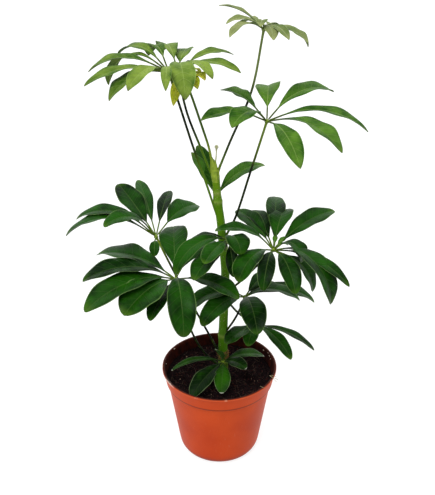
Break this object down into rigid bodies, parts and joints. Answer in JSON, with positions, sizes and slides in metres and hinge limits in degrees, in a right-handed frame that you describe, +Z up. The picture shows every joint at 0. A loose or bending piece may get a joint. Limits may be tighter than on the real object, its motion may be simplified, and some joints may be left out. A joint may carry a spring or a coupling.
{
  "type": "potted umbrella plant",
  "caption": "Dwarf umbrella plant with a bare upright trunk and long-stalked whorls of drooping leaflets, standing in a round tapered nursery pot filled with soil.",
  "frame": {"origin": "middle of the pot's underside, on the surface it stands on", "axes": "+Z up along the pot's axis, +X to the right and +Y away from the viewer in the reference view"},
  "size_m": [0.2798, 0.186, 0.4622],
  "materials": {
    "pot_plastic": "satin terracotta-orange plastic",
    "peat": "moist dark peat compost, crumbly",
    "green_bark": "smooth green young bark with leaf scars",
    "bud": "pale downy bud",
    "leaf_pale": "soft young leaf with a grey bloom",
    "leaf_bright": "satin mid-green leaf",
    "leaf_new": "soft yellow-green new leaf",
    "leaf_dark": "glossy dark green leathery leaf with a pale rib"
  },
  "bodies": {
    "root": {"pot": "pot_plastic", "soil": "peat", "trunk": "green_bark", "tip_bud": "bud", "leaf_top_right": "leaf_pale", "leaf_top_left": "leaf_bright", "leaf_top_middle": "leaf_bright", "leaf_young": "leaf_new", "leaf_upper_right": "leaf_bright", "leaf_crown": "leaf_dark", "leaf_left": "leaf_dark", "leaf_lower_left": "leaf_dark", "leaf_base": "leaf_dark", "leaf_lower_middle": "leaf_dark", "leaf_right": "leaf_dark", "leaf_middle": "leaf_dark", "leaf_lower_right": "leaf_dark"}
  },
  "joints": []
}
